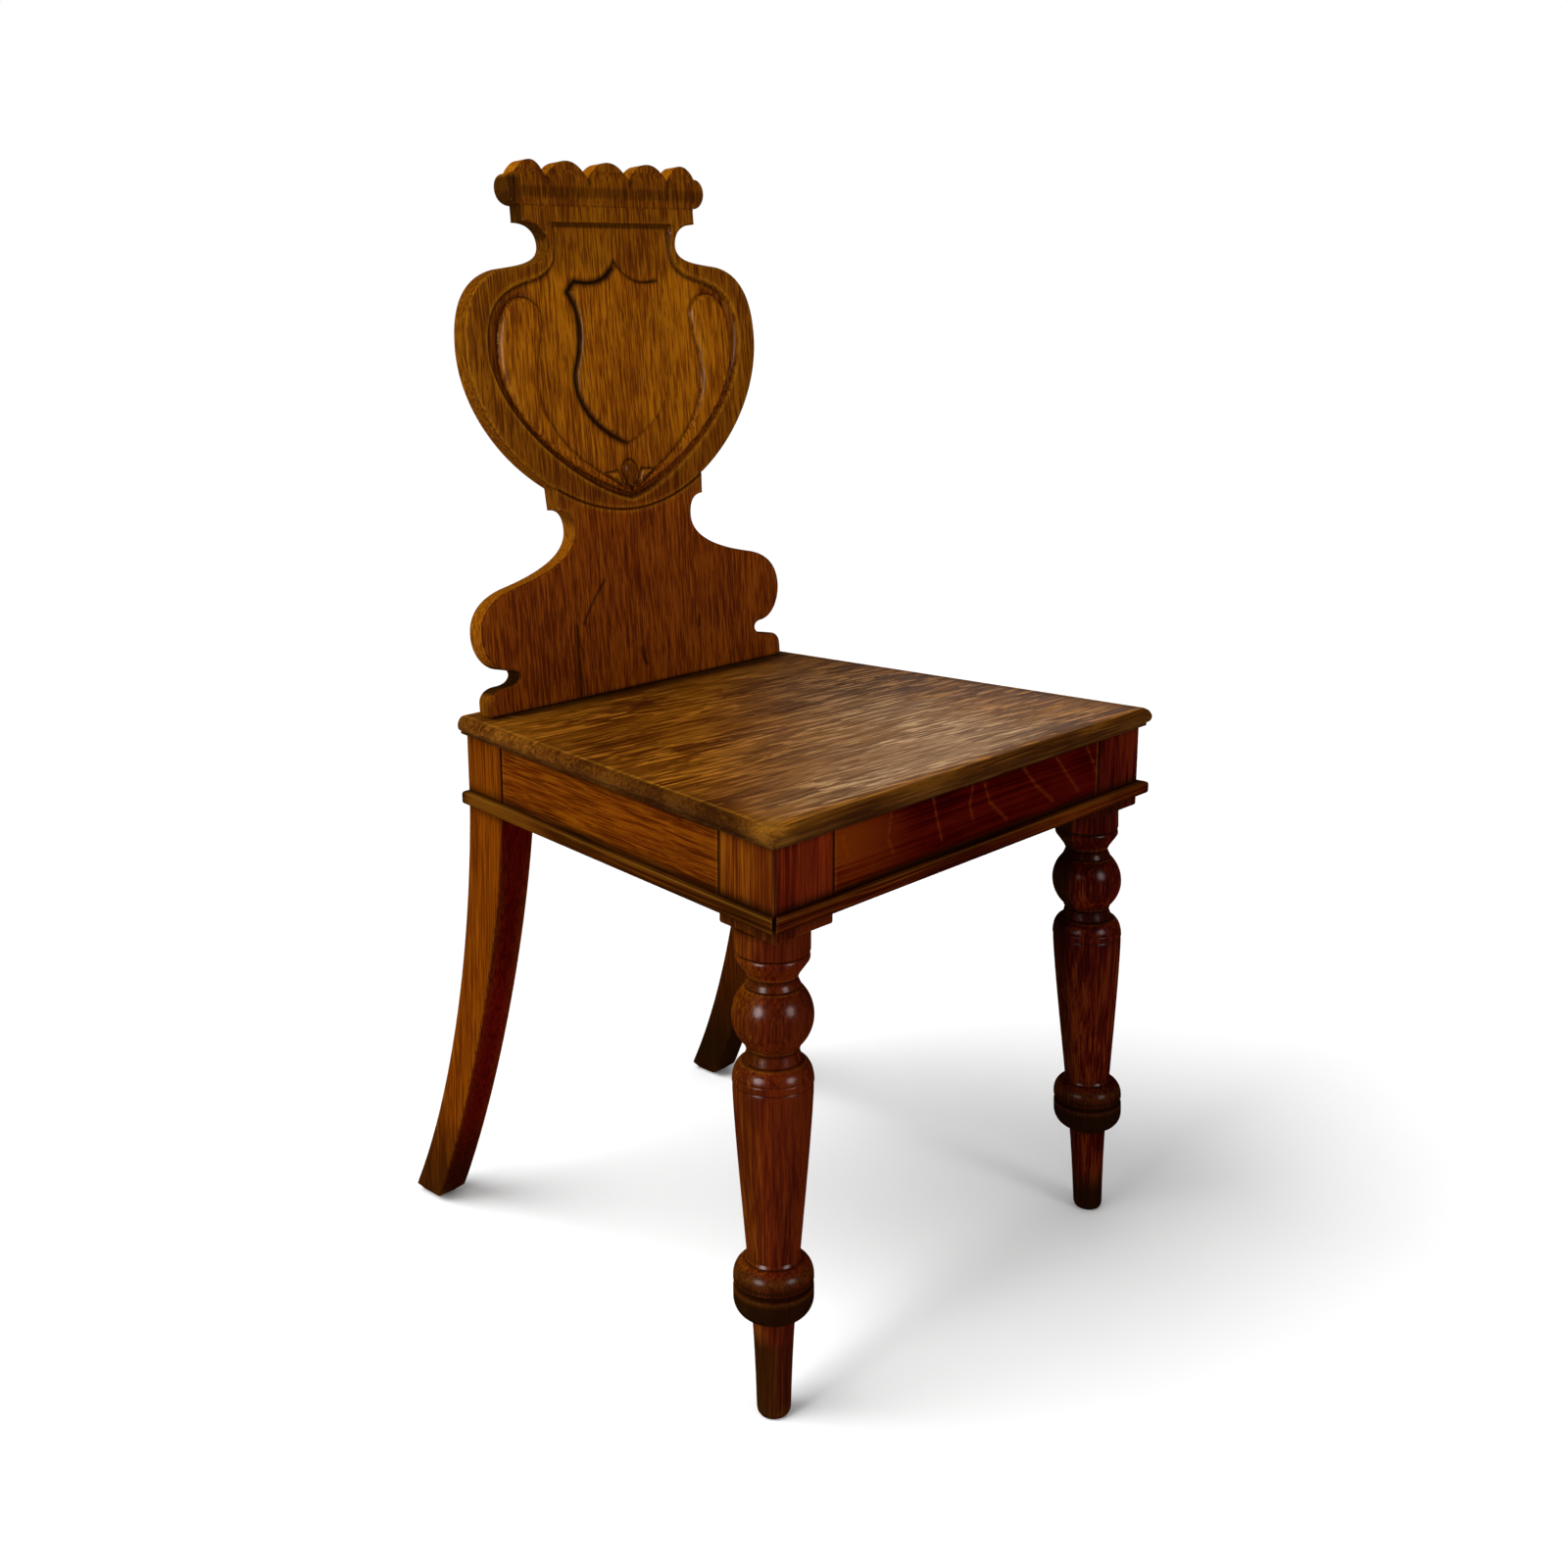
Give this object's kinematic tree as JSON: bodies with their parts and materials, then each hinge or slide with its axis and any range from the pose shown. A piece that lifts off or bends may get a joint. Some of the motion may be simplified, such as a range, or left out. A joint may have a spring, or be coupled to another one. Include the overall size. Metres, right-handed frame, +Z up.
{
  "type": "hall chair",
  "caption": "Carved oak hall chair: plank seat, shaped back board with a cartouche and shield, railed apron with a bead, turned front legs and swept-back rear legs.",
  "frame": {"origin": "on the floor, under the middle of the chair's overall box", "axes": "+Z up; -Y the way the sitter faces; +X to the right as seen by someone facing the chair's front"},
  "size_m": [0.454, 0.48, 0.8822],
  "materials": {
    "oak_back": "waxed golden-brown oak, grain upright, satin",
    "oak_seat": "waxed golden-brown oak, grain side to side, worn satin",
    "oak_side": "waxed golden-brown oak, satin",
    "oak_front": "waxed reddish-brown oak, glossy on the turnings",
    "oak_inner": "bare unpolished oak, matt",
    "screw_steel": "plain dull steel"
  },
  "bodies": {
    "root": {"apron_moulding_front": "oak_side", "apron_moulding_left": "oak_side", "apron_moulding_right": "oak_side", "back_board": "oak_back", "back_peg_left": "oak_inner", "back_peg_right": "oak_inner", "back_rail": "oak_inner", "block_screw_end_front_left": "screw_steel", "block_screw_end_front_right": "screw_steel", "block_screw_end_rear_left": "screw_steel", "block_screw_end_rear_right": "screw_steel", "block_screw_side_front_left": "screw_steel", "block_screw_side_front_right": "screw_steel", "block_screw_side_rear_left": "screw_steel", "block_screw_side_rear_right": "screw_steel", "corner_block_front_left": "oak_inner", "corner_block_front_right": "oak_inner", "corner_block_rear_left": "oak_inner", "corner_block_rear_right": "oak_inner", "front_leg_left": "oak_front", "front_leg_right": "oak_front", "front_rail": "oak_front", "rear_leg_left": "oak_side", "rear_leg_right": "oak_side", "seat_board": "oak_seat", "seat_screw_front_left": "screw_steel", "seat_screw_front_right": "screw_steel", "seat_screw_rear_left": "screw_steel", "seat_screw_rear_right": "screw_steel", "side_rail_left": "oak_side", "side_rail_right": "oak_side"}
  },
  "joints": []
}
